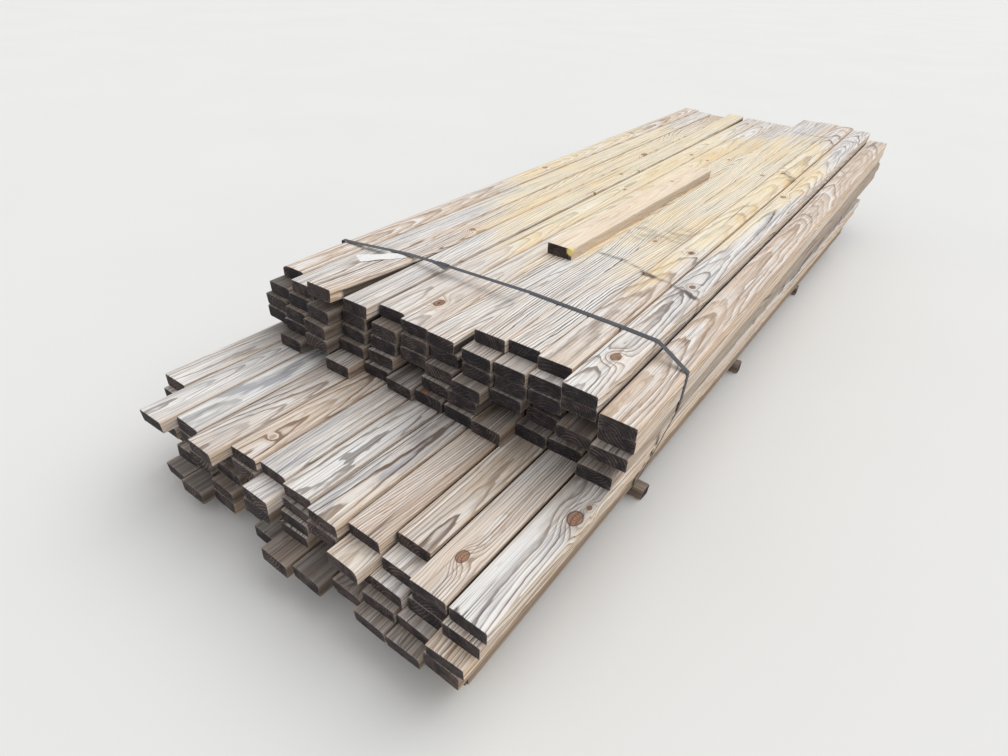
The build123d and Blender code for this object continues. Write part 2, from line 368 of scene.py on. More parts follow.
# %% Pith places and ring widths of the boards that show
# A pith close under the face gives arches and one far off to a side gives straight lines.
STRAIGHT_LEFT, STRAIGHT_RIGHT, ARCHED = (-0.13, -0.09), (0.22, -0.09), (0.045, -0.004)
PITHS = by_board({
    "lower_6": {
        3: (0.05, -0.10), 4: (0.055, -0.012), 5: ARCHED, 6: STRAIGHT_LEFT, 7: (0.05, -0.10),
        8: (0.050, 0.002), 9: STRAIGHT_RIGHT, 10: (0.060, -0.004), 11: STRAIGHT_LEFT,
        12: (0.034, -0.016),
    },
    "upper_5": {
        1: (0.05, -0.02), 4: STRAIGHT_LEFT, 5: ARCHED, 6: (0.040, -0.010), 7: (0.11, -0.05),
        10: (0.06, -0.02), 12: (0.034, -0.026),
    },
    "upper_6": {1: (-0.10, -0.05), 2: STRAIGHT_RIGHT, 3: (0.05, -0.07), 4: (0.042, -0.008)},
    "upper_4": {3: (0.060, 0.018)},
    "upper_3": {3: (-0.03, -0.04), 5: (0.045, 0.022), 7: (-0.05, -0.05), 11: (0.045, -0.012)},
    "upper_1": {4: (0.045, 0.012), 7: (0.020, 0.022), 8: (0.045, 0.070), 10: (0.03, -0.01)},
})
RING_WIDTHS = by_board({
    "lower_6": {
        4: 0.0085, 5: 0.0090, 6: 0.0060, 8: 0.0090, 9: 0.0055, 10: 0.0080, 11: 0.0058, 12: 0.0082,
    },
    "upper_5": {1: 0.0075, 5: 0.0080, 12: 0.0078},
    "upper_6": {1: 0.0066, 2: 0.0070, 3: 0.0090, 4: 0.0066},
})

# %% Knots that show: across from the left edge, along from the near end, radius, strength
SHOWN_KNOTS = by_board({
    "lower_6": {
        5: [(0.050, 0.08, 0.006, 0.5)],
        11: [(0.045, 0.100, 0.0115, 1.0)],
        12: [(0.069, 0.322, 0.0155, 1.0), (0.078, 0.366, 0.005, 1.2)],
    },
    "upper_5": {
        1: [(0.045, 1.35, 0.010, 0.8), (0.045, 2.2, 0.009, 0.7)],
        3: [(0.060, 0.64, 0.008, 0.9), (0.085, 1.93, 0.014, 0.9)],
        4: [(0.086, 1.23, 0.005, 1.2), (0.052, 1.53, 0.006, 1.2), (0.085, 1.63, 0.004, 1.2)],
        5: [(0.058, 1.31, 0.005, 1.2), (0.060, 2.01, 0.006, 1.2)],
        6: [(0.022, 0.125, 0.012, 1.2), (0.062, 1.99, 0.005, 1.2)],
        7: [(0.045, 2.08, 0.006, 1.2), (0.040, 1.19, 0.005, 0.9)],
    },
    "upper_6": {
        2: [(0.015, 0.777, 0.006, 0.8), (0.060, 1.75, 0.008, 0.7)],
        3: [(0.049, 0.779, 0.008, 1.2), (0.030, 1.86, 0.010, 0.9)],
        4: [(0.046, 0.160, 0.011, 1.0), (0.046, 0.611, 0.007, 1.2), (0.024, 1.587, 0.010, 0.8)],
    },
    "upper_1": {7: [(0.030, 0.004, 0.009, 1.0)]},
})
# Worn or broken corners: which one, how much wider and deeper it is rounded, and how far
SHOWN_CUTS = by_board({
    "upper_5": {1: [(3, 0.024, 0.010, 2.0)], 5: [(2, 0.008, 0.006, 0.30)]},
    "lower_5": {9: [(2, 0.010, 0.012, 0.12)]},
    "lower_6": {6: [(2, 0.005, 0.004, 0.05)]},
})


def knots_of(key, column, rng):
    """The knots named for a board, and on the lower bundle a small one of its own from its seed."""
    own = []
    if key.startswith("lower"):
        own = [(rng.uniform(0.015, 0.075), rng.uniform(0.9, 2.8), rng.uniform(0.004, 0.007), 0.6)]
    return (SHOWN_KNOTS.get((key, column), []) + own)[: len(KNOT_SLOTS)]


def look_of(key, column, rng):
    """The look named for a board, or one from its seed."""
    drawn = HIDDEN_SHADED_LOOKS[rng.integers(len(HIDDEN_SHADED_LOOKS))]
    shown = SHOWN_LOOKS.get(key)
    name = ODD_LOOKS.get((key, column), shown[column - 1] if shown else drawn)
    return LOOKS[name]


# %% [markdown]
# Sun has kept the middle of the top boards creamy yellow, and the strap end and the far
# end have greyed. The border runs at a slant across the boards. Each point carries its
# distance inside that border, so the material can blur and break it.

# %% Distance inside the creamy part
BORDER_X = [0.0, 0.20, 0.30, 0.35, 0.40, 0.45, 0.70, 0.95, 1.05, 1.15, 1.25]
BORDER_NEAR = [1.65, 1.15, 1.0, 1.0, 1.0, 0.95, 0.95, 0.95, 1.5, 3.9, 3.9]
BORDER_FAR = [3.05, 3.08, 3.15, 3.8, 3.8, 3.15, 3.12, 3.15, 2.7, 2.6, 2.6]


def inside_cream(points):
    """Metres past the near border or before the far one, whichever is less."""
    x, y = points[:, 0] - CORNER[0], points[:, 1] - CORNER[1]
    near, far = np.interp(x, BORDER_X, BORDER_NEAR), np.interp(x, BORDER_X, BORDER_FAR)
    return np.minimum(y - near, far - y)


# %% [markdown]
# ## A layer as one piece
# A layer's boards make one object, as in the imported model. Their arrays are joined, and
# their points keep what the material needs.


# %% Mesh from arrays
SMOOTH = math.radians(35)


def mesh_from(name, points, quads, triangles):
    """A mesh of points, quads and triangles, smooth but for edges sharper than SMOOTH."""
    mesh = bpy.data.meshes.new(name)
    mesh.from_pydata(points.tolist(), [], quads.tolist() + triangles.tolist())
    mesh.validate()
    mesh.shade_smooth()
    mesh.set_sharp_from_angle(angle=SMOOTH)
    return mesh


def store(mesh, name, boards_values):
    """Keeps the boards' values, three or four for each point, under a name materials can read."""
    values = np.concatenate(boards_values).astype(np.float32)
    kind, field = {3: ("FLOAT_VECTOR", "vector"), 4: ("FLOAT_COLOR", "color")}[values.shape[1]]
    mesh.attributes.new(name, kind, "POINT").data.foreach_set(field, values.ravel())


def add_piece(name, mesh, material, nodes):
    """Links a piece, rides it on the stack and hides the nodes it stands for."""
    piece = added(name, mesh)
    mesh.materials.append(material)
    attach(piece, "root")
    if nodes:
        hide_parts(*nodes)
    print(name, len(mesh.polygons), "faces")


# %% One board with everything its material reads
AROUND = 4 * len(ARC) + sum(EDGE_POINTS)
corner_mask = np.concatenate([np.r_[np.ones(len(ARC)), np.zeros(n)] for n in EDGE_POINTS])
# How painted gap shade fades in along a neighbour, how wide an open side is, and how far below the
# top the gap shade begins and how deep it grows full
GAP_SHADE_FADE, SIDE_FADE = 0.006, 0.003
GAP_SHADE_TOP, GAP_SHADE_DEPTH = 0.004, 0.010
SEED_STEP, SEED_SPAN = 3.7, 911


def gap_shade_share(points, side_of, neighbours):
    """1 where a board's side faces a neighbour, and 0 where it is open: the share of painted gap
    shade.
    """
    amount = np.zeros(len(points))
    for neighbour, on_side in zip(neighbours, (side_of < 0, side_of > 0)):
        if neighbour is not None:
            past = np.clip((points[:, 1] - neighbour.near) / GAP_SHADE_FADE, 0, 1)
            before = np.clip((neighbour.far - points[:, 1]) / GAP_SHADE_FADE, 0, 1)
            amount = np.where(on_side, past * before, amount)
    return amount


def board_arrays(
    place, seed, spacing, look, pith, knots=(), cut=(), ring_width=0.0072, end_tone=0.5,
    neighbours=(None, None),
):
    """A board's points and faces, and for each point its place in the tree, its look, its knots,
    and the amounts of edge, end and side. Side is 1 on an open side. Low on a side that faces a
    neighbour it falls to -1, and the material paints shade there: painted shade of the narrow gap."""
    body, loop, run = board_surface(place, seed, spacing, cut)
    points, quads, triangles = capped(body, AROUND)
    rows = len(run)
    end = np.ones(len(points))
    end[: rows * AROUND] = np.repeat(np.isin(np.arange(rows), (0, rows - 1)), AROUND)
    edge = np.zeros(len(points))
    edge[: rows * AROUND] = np.tile(corner_mask, rows)
    y = points[:, 1] - place.near
    x = points[:, 0] - place.left - place.skew * y
    z = points[:, 2] - np.interp(points[:, 1], place.along, place.under)
    half = place.width / 2
    side = np.clip((abs(x - half) - half + SIDE_FADE) / SIDE_FADE, 0, 1)
    depth = np.clip((place.thick - z - GAP_SHADE_TOP) / GAP_SHADE_DEPTH, 0, 1)
    side = side * (1 - 2 * depth * gap_shade_share(points, x - half, neighbours))
    every = np.ones(len(points))
    return {
        "points": points, "quads": quads, "triangles": triangles,
        "wood": np.stack([x - pith[0], y + seed * SEED_STEP % SEED_SPAN, z - pith[1]], -1),
        "look": np.tile(look[:4], (len(points), 1)),
        "grain": np.stack([every * ring_width, every * end_tone, every * look[4], side], -1),
        "knots": knot_field(x, y, knots),
        "marks": np.stack([edge, end, inside_cream(points), every * look[5]], -1),
    }


# %% Several boards as one mesh
def joined(boards, name):
    """One mesh of several boards: their points follow each other and their faces count on."""
    shift = np.cumsum([0] + [len(b["points"]) for b in boards])
    quads = np.concatenate([b["quads"] + s for b, s in zip(boards, shift)])
    triangles = np.concatenate([b["triangles"] + s for b, s in zip(boards, shift)])
    mesh = mesh_from(name, np.concatenate([b["points"] for b in boards]), quads, triangles)
    for kept in ("wood", "look", "grain", "marks"):
        store(mesh, kept, [b[kept] for b in boards])
    for k, slot_name in enumerate(KNOT_SLOTS):
        store(mesh, slot_name, [b["knots"][k] for b in boards])
    return mesh


# %% [markdown]
# ## The wood material
# A small helper adds nodes and links, so that the recipes below read as sums. Rings are
# the distance from the pith cut into equal steps, each fading from pale spring wood to
# dark summer wood. The trunk's taper and a slow wander of the pith along the board turn
# straight lines into the arches of flat sawn boards. Weather bleaches the faces to
# silver and leaves the ends dark.


# %% A hand for building materials
class Recipe:
    """Adds nodes to one material or sky, and gives back their outputs."""

    def __init__(self, name, kind="materials"):
        self.made = getattr(bpy.data, kind).new(name)
        self.made.use_nodes = True
        self.tree = self.made.node_tree
        self.face = None

    def node(self, kind, values=(), output=0, **settings):
        made = self.tree.nodes.new(kind)
        for key, value in settings.items():
            setattr(made, key, value)
        for key, value in dict(values).items():
            self.put(made.inputs[key], value)
        return made.outputs[output]

    def put(self, socket, value):
        if isinstance(value, bpy.types.NodeSocket):
            self.tree.links.new(value, socket)
        else:
            socket.default_value = value

    def math(self, what, a, b=0.0, c=0.0, clamp=False):
        return self.node("ShaderNodeMath", {0: a, 1: b, 2: c}, operation=what, use_clamp=clamp)

    def times(self, *values, clamp=False):
        """The product of all values."""
        return reduce(lambda a, b: self.math("MULTIPLY", a, b, clamp=clamp), values)

    def plus(self, *values, clamp=False):
        """The sum of all values."""
        return reduce(lambda a, b: self.math("ADD", a, b, clamp=clamp), values)

    def scaled(self, value, share, base):
        """A value times a share, plus a base."""
        return self.math("MULTIPLY_ADD", value, share, base)

    def step(self, value, low, high, to_low=0.0, to_high=1.0):
        """A smooth step: to_low below low, to_high above high."""
        values = {0: value, 1: low, 2: high, 3: to_low, 4: to_high}
        return self.node("ShaderNodeMapRange", values, interpolation_type="SMOOTHSTEP")

    def mix(self, share, a, b):
        return self.node("ShaderNodeMix", {0: share, 6: a, 7: b}, 2, data_type="RGBA")

    def paint(self, share, colour):
        """Mixes a share of a colour into the face."""
        self.face = self.mix(share, self.face, colour)

    def read(self, name, output="Vector"):
        return self.node("ShaderNodeAttribute", (), output, attribute_name=name)

    def parts(self, vector):
        made = self.tree.nodes.new("ShaderNodeSeparateXYZ")
        self.put(made.inputs[0], vector)
        return made.outputs[0], made.outputs[1], made.outputs[2]

    def here(self):
        """A point's place in the frame, which every piece shares."""
        return self.node("ShaderNodeTexCoord", (), "Object")

    def noise(self, place, scale, detail=2.0, roughness=0.5, output=0):
        """Noise between 0 and 1 of a place stretched by three scales, in patterns a metre."""
        stretched = self.node("ShaderNodeVectorMath", {0: place, 1: scale}, operation="MULTIPLY")
        values = {"Vector": stretched, "Scale": 1.0, "Detail": detail, "Roughness": roughness}
        return self.node("ShaderNodeTexNoise", values, output)

    def swing(self, noise, share):
        """A noise value less its middle, times a share."""
        return self.times(self.math("SUBTRACT", noise, 0.5), share)

    def finish(self, colour, roughness, height, depth, strength=0.8):
        """Joins colour, roughness and bumps of a depth in metres to the shader."""
        bump = {"Strength": strength, "Distance": depth, "Height": height}
        shader = self.tree.nodes["Principled BSDF"].inputs
        self.put(shader["Base Color"], colour)
        self.put(shader["Roughness"], roughness)
        self.put(shader["Specular IOR Level"], 0.25)
        self.put(shader["Normal"], self.node("ShaderNodeBump", bump))
        return self.made


# %% Wood colours
def tint(red, green, blue):
    """A colour as seen on a screen, 0 to 255, as the linear colour a shader takes."""
    seen = np.array([red, green, blue]) / 255
    linear = np.where(seen <= 0.04045, seen / 12.92, ((seen + 0.055) / 1.055) ** 2.4)
    return (*linear.tolist(), 1.0)


SILVER, TAN, BLEACHED = tint(246, 245, 243), tint(235, 218, 203), tint(255, 253, 250)
CREAM, CREAM_DEEP, PEACH = tint(255, 241, 206), tint(254, 226, 172), tint(255, 234, 206)
GOLD, BLUE_GREY = tint(238, 208, 160), tint(176, 179, 187)
# The first of these is a dark brown for dirt, dark fibres and stains, and for painted shade in the
# stack
DIRT_AND_SHADE, SUMMER, SUMMER_GREY = tint(80, 70, 64), tint(122, 88, 64), tint(102, 93, 88)
STREAK_BROWN, SIDE_GREY, SIDE_TAN = tint(176, 144, 118), tint(234, 219, 199), tint(240, 202, 158)
# The first of these is painted shade for the narrow gaps between boards
GAP_SHADE, CHIP, GRIME = tint(46, 38, 33), tint(252, 230, 150), tint(92, 74, 60)
END_DARK, END_PALE, END_BROWN = tint(36, 33, 38), tint(132, 123, 119), tint(70, 57, 54)
HALO, KNOT_RED, KNOT_DARK = tint(222, 186, 152), tint(166, 118, 84), tint(70, 52, 44)


# %% Knots
def knot_parts(r, slot_name, wobble):
    """A point's share of a knot's core, its nearness to it, and its shares of the dark rings and
    of the hole. Nearness is 2.718 to the power of -0.2 times the squared distance in radii."""
    x, y, strength = r.parts(r.read(slot_name))
    away = r.plus(r.math("SQRT", r.plus(r.times(x, x), r.times(y, y))), wobble)
    core = r.times(r.step(away, 0.85, 1.12, 1.0, 0.0), strength, clamp=True)
    near = r.times(r.math("POWER", 2.718, r.times(away, away, -0.2)), strength)
    rim = r.times(r.step(away, 0.8, 1.0), r.step(away, 1.0, 1.25, 1.0, 0.0), strength, 1.6)
    hole = r.times(r.step(away, 0.15, 0.5, 1.0, 0.0), r.step(strength, 1.0, 1.2))
    grown = r.times(r.step(r.math("FRACT", r.times(away, 2.7)), 0.35, 0.9, 0.1, 0.9), core)
    return core, near, r.math("MAXIMUM", rim, grown), hole


# %% Rings
TAPER, KNOT_SWELL = 0.04, 0.022
WANDER, UNEVEN, KNOT_UNEVEN = 0.06, 0.012, 0.35


def ring_lines(r, place, ring_width):
    """Rings about the wandering pith and round the knots: the dark late wood, the white early
    wood, and what the knots add. The trunk's taper adds TAPER metres of radius a metre, so
    arches point one way, and every knot pushes the rings KNOT_SWELL outwards."""
    x, y, z = r.parts(place)
    slow = r.node("ShaderNodeCombineXYZ", {0: 0.3, 1: y, 2: 0.7})
    wander = r.parts(r.noise(slow, (1.0, 1.3, 1.0), 1.0, output=1))
    px, pz = r.plus(x, r.swing(wander[0], WANDER)), r.plus(z, r.swing(wander[2], WANDER))
    radius = r.math("SQRT", r.plus(r.times(px, px), r.times(pz, pz)))
    radius = r.scaled(y, TAPER, radius)
    radius = r.plus(radius, r.swing(r.noise(place, (26.0, 6.0, 26.0), 3.0, 0.6), UNEVEN))
    wobble = r.swing(r.noise(place, (60.0, 40.0, 60.0)), KNOT_UNEVEN)
    cores = rims = holes = halo = 0.0
    for slot_name in KNOT_SLOTS:
        core, near, rim, hole = knot_parts(r, slot_name, wobble)
        radius = r.scaled(near, KNOT_SWELL, radius)
        cores, rims = r.math("MAXIMUM", cores, core), r.math("MAXIMUM", rims, rim)
        holes, halo = r.math("MAXIMUM", holes, hole), r.math("MAXIMUM", halo, near)
    count = r.math("DIVIDE", radius, ring_width)
    turn = r.math("FRACT", count)
    each = r.node("ShaderNodeTexWhiteNoise", {"W": r.math("FLOOR", count)}, noise_dimensions="1D")
    late = r.times(r.step(turn, 0.58, 0.82), r.step(turn, 0.93, 1.0, 1.0, 0.0))
    late = r.times(late, r.step(each, 0.0, 0.9, 0.3, 1.0))
    early = r.times(r.step(turn, 0.2, 0.5, 1.0, 0.0), r.step(each, 0.0, 1.0, 0.3, 1.0))
    return late, early, cores, rims, holes, halo


# %% Everything a point of wood knows
def point_of(r):
    """A point's look, marks, grain and rings, and the noises there, by name."""
    place, p = r.read("wood"), SimpleNamespace(where=r.here())
    p.warm, p.deep, p.ring_share = r.parts(r.read("look"))
    p.edge, p.end, p.inside = r.parts(r.read("marks"))
    ring_width, p.end_tone, p.blue = r.parts(r.read("grain"))
    p.gold, p.white, p.side = (r.read(kept, "Alpha") for kept in ("look", "marks", "grain"))
    p.late, p.early, p.cores, p.rims, p.holes, p.halo = ring_lines(r, place, ring_width)
    p.fibre = r.noise(place, (520.0, 7.0, 520.0), 3.0, 0.6)
    p.streak = r.noise(place, (80.0, 1.1, 80.0), 3.0, 0.62)
    p.thread = r.noise(place, (310.0, 1.9, 310.0), 2.0, 0.6)
    p.patch = r.noise(place, (9.0, 2.2, 9.0), 2.0)
    p.cloud = r.noise(place, (26.0, 5.0, 26.0), 3.0, 0.6)
    p.speck = r.noise(place, (260.0, 160.0, 260.0), 2.0)
    p.split = r.step(r.noise(place, (170.0, 2.2, 170.0), 1.0), 0.27, 0.32, 1.0, 0.0)
    p.warm_now = r.plus(p.warm, r.swing(p.patch, 1.7), clamp=True)
    return p


# %% Weathered faces
def bleached_face(r, p):
    """Silver or tan wood, with blue-grey clouds, bleached flakes rimmed with brown, and gold."""
    r.face = r.mix(p.warm_now, SILVER, TAN)
    r.paint(r.times(r.step(p.cloud, 0.47, 0.57, 0.0, 0.9), p.blue), BLUE_GREY)
    flakes = r.scaled(p.white, -0.75, 0.9)
    r.paint(r.times(r.step(p.cloud, 0.38, 0.46, 0.9, 0.0), flakes), BLEACHED)
    rim = r.times(r.step(p.cloud, 0.41, 0.44), r.step(p.cloud, 0.44, 0.49, 0.4, 0.0), p.warm_now)
    r.paint(rim, STREAK_BROWN)
    r.paint(r.times(p.gold, r.step(p.patch, 0.3, 0.7), clamp=True), GOLD)


def add_cream(r, p, cream):
    """Cream inside a blurred and broken border. Gives back the share of cream."""
    border = r.plus(p.inside, r.swing(p.patch, 0.8), r.swing(p.streak, 0.5))
    share = r.times(r.step(border, -0.12, 0.3), r.step(p.cloud, 0.4, 0.75, cream, cream * 0.7))
    deeper = r.step(r.plus(p.patch, r.swing(p.streak, 0.6)), 0.42, 0.74)
    r.paint(share, r.mix(deeper, CREAM, CREAM_DEEP))
    return share


# %% Lines along the grain
def add_lines(r, p, calm):
    """White early wood, dark late wood, brown streaks and thin dark threads."""
    summer = r.mix(p.warm_now, SUMMER_GREY, SUMMER)
    r.paint(r.times(p.early, p.white), BLEACHED)
    drawn = r.times(p.late, p.ring_share, r.step(p.patch, 0.3, 0.62, 1.0, 0.6))
    r.paint(r.times(drawn, calm, clamp=True), summer)
    brown = r.times(r.step(p.streak, 0.52, 0.68), r.scaled(p.warm, 0.5, 0.06), calm)
    r.paint(brown, STREAK_BROWN)
    r.paint(r.times(r.step(p.thread, 0.53, 0.61, 0.0, 0.42), calm), summer)


# %% Dirt
def add_dirt_and_shade(r, p):
    """The look's darkness, which deep in the stack is partly painted shade, painted shade on the
    sides of dark boards, and darkness in fibres, splits and specks.
    """
    r.paint(r.times(p.deep, r.step(p.streak, 0.1, 0.6, 0.6, 1.0)), DIRT_AND_SHADE)
    # Painted shade on the sides of dark boards, which lie in the stack's shade
    r.paint(r.times(r.times(p.deep, p.side), 0.7, clamp=True), DIRT_AND_SHADE)
    r.paint(r.step(p.fibre, 0.42, 0.68, 0.0, 0.2), DIRT_AND_SHADE)
    r.paint(r.times(p.split, 0.62), DIRT_AND_SHADE)
    r.paint(r.step(p.speck, 0.70, 0.80, 0.0, 0.25), DIRT_AND_SHADE)
    r.paint(r.times(p.edge, 0.2), TAN)


# Where the painted shade and dirt at the foot of the upper bundle begins and where it is full
FOOT_FROM, FOOT_TO = 0.16, 0.44


def add_foot_shade_and_dirt(r, p, foot_shade_and_dirt):
    """Painted shade and dirt on top of the lower bundle where the upper one begins."""
    y = r.parts(p.where)[1]
    foot_shade = r.step(y, CORNER[1] + FOOT_FROM, CORNER[1] + FOOT_TO, 0.0, foot_shade_and_dirt)
    on_top = r.math("SUBTRACT", 1.0, p.side, clamp=True)
    r.paint(r.times(r.step(p.streak, 0.3, 0.6, 0.3, 0.9), foot_shade, on_top), DIRT_AND_SHADE)


# %% Stains
def add_stain(r, p, x_low, x_high, y_start, slope, half, strength):
    """One dark, broken band across the boards: half its width to either side of the line that
    starts at x_low, y_start and runs on with the slope."""
    x, y, _ = r.parts(p.where)
    off = r.math("SUBTRACT", y, r.scaled(x, slope, y_start - slope * x_low))
    off = r.plus(off, r.swing(r.noise(p.where, (9.0, 2.0, 2.0), 3.0), half * 4))
    band = r.step(r.math("ABSOLUTE", off), half * 0.2, half, 1.0, 0.0)
    span = r.times(r.step(x, x_low, x_low + 0.03), r.step(x, x_high - 0.03, x_high, 1.0, 0.0))
    broken = r.step(r.noise(p.where, (16.0, 30.0, 2.0), 2.0), 0.38, 0.62, 0.0, strength)
    r.paint(r.times(band, span, broken), DIRT_AND_SHADE)


# %% Knots and ends
def add_knots(r, p):
    """The knots' cores, their dark rings and their holes."""
    knot = r.mix(r.times(p.late, 0.5), KNOT_RED, KNOT_DARK)
    r.paint(r.times(p.cores, 0.8), knot)
    r.paint(r.times(p.rims, 0.5, clamp=True), KNOT_DARK)
    r.paint(r.times(p.holes, 0.8), KNOT_DARK)


def cut_end(r, p):
    """The colour of a sawn end: dark, with paler rings, saw lines and rim."""
    colour = r.mix(p.end_tone, END_DARK, END_BROWN)
    colour = r.mix(r.times(p.late, r.scaled(p.end_tone, 0.5, 0.15)), colour, END_PALE)
    saw = r.noise(p.where, (60.0, 60.0, 900.0), 1.0)
    colour = r.mix(r.step(saw, 0.5, 0.75, 0.0, 0.36), colour, END_PALE)
    colour = r.mix(r.step(p.cloud, 0.42, 0.62, 0.0, 0.8), colour, END_DARK)
    return r.mix(r.times(p.edge, 0.3), colour, END_PALE)


# %% The whole recipe
def wood(name, cream=0.0, fresh=0.0, stains=(), foot_shade_and_dirt=0.0, chip=None):
    """Weathered softwood. cream lets the creamy middle show, and fresh is for a board that has
    hardly greyed. stains are bands across the boards, the foot amount is painted shade and dirt on
    the lower bundle where the upper one begins, and chip is the place of a freshly broken corner."""
    r = Recipe(name)
    p = point_of(r)
    bleached_face(r, p)
    bright = add_cream(r, p, cream) if cream else 0.0
    if fresh:
        r.paint(fresh, PEACH)
    side_tone = PEACH if fresh else r.mix(p.warm_now, SIDE_GREY, SIDE_TAN)
    r.paint(r.times(p.side, r.step(p.streak, 0.3, 0.6, 0.45, 0.9), clamp=True), side_tone)
    r.paint(r.times(p.halo, r.step(p.streak, 0.3, 0.7, 0.15, 0.6)), HALO)
    add_lines(r, p, r.scaled(bright, -0.5, 1.0 - 0.7 * fresh))
    add_dirt_and_shade(r, p)
    if foot_shade_and_dirt:
        add_foot_shade_and_dirt(r, p, foot_shade_and_dirt)
    add_knots(r, p)
    for stain in stains:
        add_stain(r, p, *stain)
    r.paint(p.end, cut_end(r, p))
    # Painted shade in the gaps: dark low on sides that face a neighbour
    r.paint(r.times(p.side, -0.92, clamp=True), GAP_SHADE)
    if chip:
        gap = r.node("ShaderNodeVectorMath", {0: p.where, 1: chip}, 1, operation="DISTANCE")
        r.paint(r.step(r.plus(gap, r.swing(p.speck, 0.02)), 0.011, 0.017, 1.0, 0.0), CHIP)

    height = r.scaled(p.late, 0.4, r.times(p.fibre, 0.5))
    height = r.scaled(p.cores, 0.4, r.math("SUBTRACT", height, r.times(p.split, 0.9)))
    return r.finish(r.face, r.step(r.plus(p.late, p.streak), 0.2, 1.6, 0.9, 0.72), height, 0.0009)


# %% Materials of the boards
# Bands across the top: from x, to x and the y they start at, all from the measured corner,
# then slope, half width and strength
BANDS = [
    (CORNER[0] + low, CORNER[0] + high, CORNER[1] + y, *rest)
    for low, high, y, *rest in [
        (0.88, 1.11, 1.046, -0.285, 0.018, 0.9),
        (0.70, 0.90, 1.10, -0.2, 0.016, 0.6),
        (0.69, 1.12, 3.165, 0.0, 0.016, 0.6),
        (0.89, 1.03, 2.48, -1.86, 0.05, 0.5),
        (0.70, 0.92, 1.35, 0.0, 0.12, 0.3),
    ]
]
CHIPPED = (0.664, 1.046, 0.219)
weathered = wood("weathered_wood", foot_shade_and_dirt=0.55)
sunned = wood("sunned_wood", cream=0.9, stains=BANDS)
fresh_wood = wood("fresh_wood", fresh=0.85, chip=tuple((CORNER + CHIPPED).tolist()))
bearer_wood = wood("bearer_wood")

# %% [markdown]
# ## The layers
# Boards whose whole length shows get a station every few centimetres. The ones inside
# the stack show only their ends, so they get few.

# %% Build every layer
SHOWN_SPACING, HIDDEN_SPACING = 0.05, 0.6


def board_of(key, column, place, spacing, look=None):
    """One board of a layer, with its seed made from its layer and column. Its sides get painted
    shade where a neighbour stands close."""
    seed = 1000 * (1 + list(layers).index(key)) + 17 * column
    rng = np.random.default_rng(seed)
    drawn = (rng.uniform(-0.01, 0.10), rng.choice([-1, 1]) * rng.uniform(0.02, 0.07) + 0.019)
    pith = PITHS.get((key, column), drawn)
    knots = knots_of(key, column, rng)
    look = look or look_of(key, column, rng)
    ring_width = RING_WIDTHS.get((key, column), rng.uniform(0.0055, 0.009))
    end_tone = rng.uniform(0.25, 0.95) if key.startswith("lower") else rng.uniform(0.0, 0.7)
    row = [None, *places.get(key, [place]), None]
    beside = (row[column - 1], row[column + 1])
    cuts = SHOWN_CUTS.get((key, column), [])
    return board_arrays(place, seed, spacing, look, pith, knots, cuts, ring_width, end_tone, beside)


for key, node in layers.items():
    boards = []
    for column, place in enumerate(places[key], 1):
        shows = key in SHOWN_LOOKS or column in (1, 12)
        boards.append(board_of(key, column, place, SHOWN_SPACING if shows else HIDDEN_SPACING))
    material = sunned if key in ("upper_5", "upper_6") else weathered
    add_piece(f"{node}_boards", joined(boards, node), material, [node])

# %% Loose board, a layer of its own to the functions above
LOOSE_LOOK = (0.6, 0.0, 0.35, 0.1, 0.0, 0.3)
layers["loose"] = "loose_board"
SHOWN_KNOTS["loose", 1] = [(0.030, 0.86, 0.007, 0.5)]
SHOWN_CUTS["loose", 1] = [(2, 0.006, 0.010, 0.035)]
loose_place = place_of(solids_of("loose_board")[0])
loose = board_of("loose", 1, loose_place, SHOWN_SPACING, LOOSE_LOOK)
add_piece("loose_board_wood", joined([loose], "loose"), fresh_wood, ["loose_board"])

# %% [markdown]
# ## Bearers
# A bearer is a square stick across the floor. It is the same kind of surface as a board
# but lies the other way, so it is made along Y and its arrays are turned a quarter.


# %% Build the bearers
BEARER_LOOK, BEARER_PITH = (1.4, 0.68, 0.7, 0.4, 0.0, 0.0), (0.02, -0.03)


def bearer_arrays(node, seed):
    """A board surface as long as the bearer, turned so that its length runs along X."""
    low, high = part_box(node)
    length, width, height = high.x - low.x, high.y - low.y, high.z - low.z
    place = Place(0.0, length, 0.0, width, height, 0.0, np.array([0.0, length]), np.zeros(2))
    arrays = board_arrays(place, seed, SHOWN_SPACING, BEARER_LOOK, BEARER_PITH)
    x, y, z = arrays["points"].T
    arrays["points"] = np.stack([low.x + y, high.y - x, low.z + z], -1)
    return arrays


for k in (1, 2, 3):
    mesh = joined([bearer_arrays(f"bearer_{k}", 300 + k)], f"bearer_{k}")
    add_piece(f"bearer_{k}_wood", mesh, bearer_wood, [f"bearer_{k}"])

# %% [markdown]
# ## Strap
# The strap is a flat steel band. Its way round the stack is the outline of the packed
# strap, and its place along the boards follows measured points, because it was
# pulled a little askew. A rounded flat section is carried along that path.

# %% The strap's way round the stack
STRAP_WIDTH, STRAP_THICK = 0.016, 0.0009
strap_points = solids_of("strap")[0]


def outline(points):
    """Corners of the tightest convex path round points in X and Z, anticlockwise."""
    ordered = sorted({(round(x, 5), round(z, 5)) for x, z in points})
    path = []
    for run in (ordered, ordered[::-1]):
        part = []
        for c in run:
            while len(part) > 1:
                a, b = part[-2], part[-1]
                if (b[0] - a[0]) * (c[1] - a[1]) - (b[1] - a[1]) * (c[0] - a[0]) > 1e-9:
                    break
                part.pop()
            part.append(c)
        path += part[:-1]
    return np.array(path)


def divided(path, longest):
    """The closed path with every side divided into pieces no longer than longest."""
    out = []
    for a, b in zip(path, np.roll(path, -1, axis=0)):
        count = max(1, int(np.ceil(np.hypot(*(b - a)) / longest)))
        out.append(a + (b - a) * (np.arange(count) / count)[:, None])
    return np.concatenate(out)


